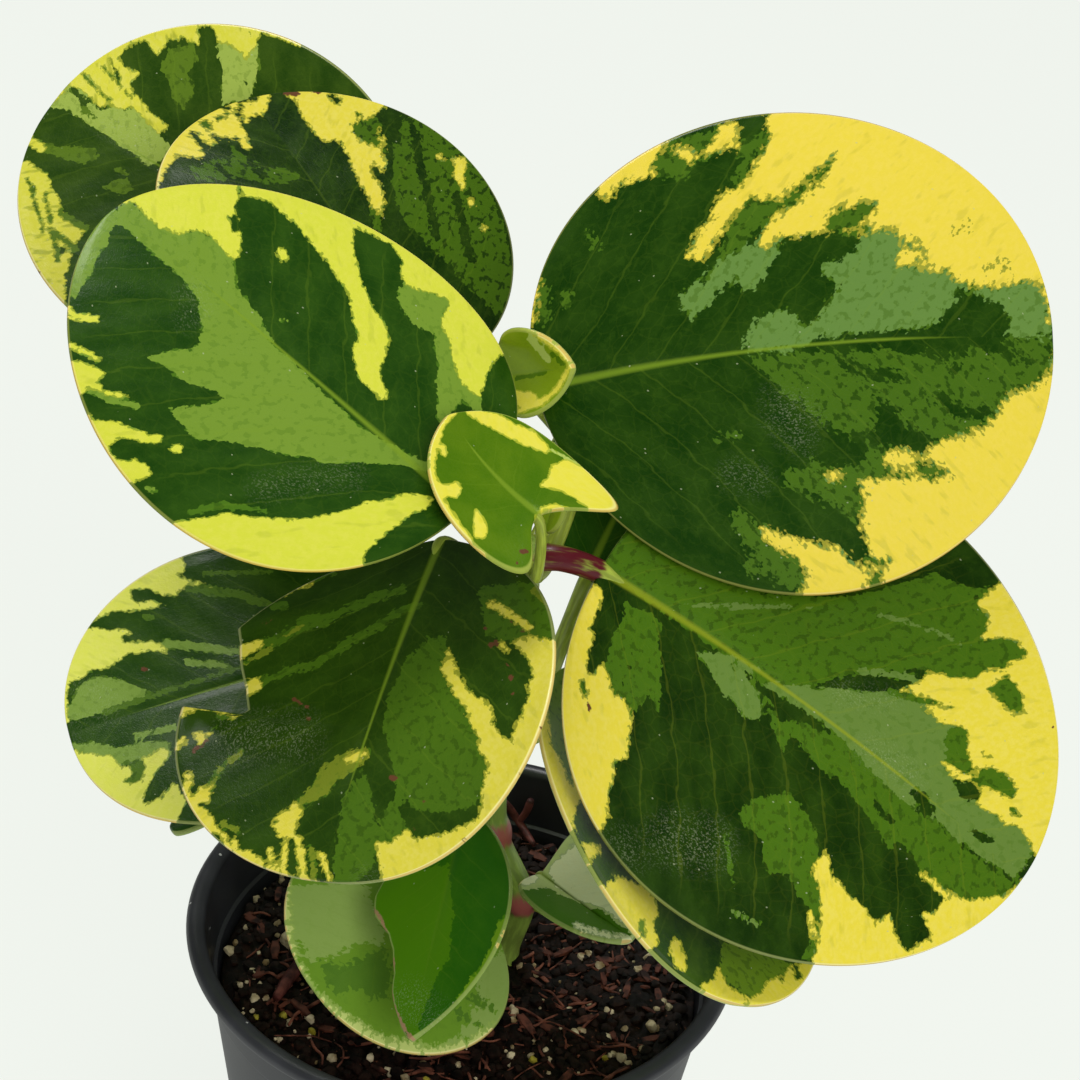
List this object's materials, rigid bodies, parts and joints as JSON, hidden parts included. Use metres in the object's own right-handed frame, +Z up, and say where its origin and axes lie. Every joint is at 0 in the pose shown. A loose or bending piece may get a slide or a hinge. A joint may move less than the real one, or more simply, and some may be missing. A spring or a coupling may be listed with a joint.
{
  "type": "potted peperomia",
  "caption": "Variegated peperomia with broad glossy oval leaves on branching stems, rooted in potting mix in a round tapered black nursery pot that stands on its flat base.",
  "frame": {"origin": "centre of the pot's flat underside, where it rests", "axes": "+Z up along the pot's axis, -Y toward the viewer of the picture (front), +X to the viewer's right"},
  "size_m": [0.2036, 0.1747, 0.2478],
  "materials": {
    "pot_plastic": "satin black, faintly mottled",
    "soil_mix": "dark peat with bark chips and white perlite grains",
    "stem_green": "fleshy light green, maroon streaks near the nodes",
    "leaf_green": "waxy gloss, dark green with grey-green and yellow patches",
    "young_leaf": "waxy gloss, yellow-green with a cream rim"
  },
  "bodies": {
    "root": {"pot": "pot_plastic", "soil": "soil_mix", "stem_main": "stem_green", "stem_back": "stem_green", "leaf_right_upper": "leaf_green", "leaf_left_front": "leaf_green", "leaf_back_middle": "leaf_green", "leaf_back_left": "leaf_green", "leaf_centre_bitten": "leaf_green", "leaf_left_low": "leaf_green", "leaf_left_tip": "leaf_green", "leaf_right_lower": "leaf_green", "leaf_right_under": "leaf_green", "leaf_young_back": "young_leaf", "leaf_young_front": "young_leaf", "leaf_bud": "young_leaf", "leaf_behind_centre": "leaf_green", "leaf_pot_upper": "leaf_green", "leaf_pot_lower": "leaf_green", "leaf_pot_right": "leaf_green"}
  },
  "joints": []
}
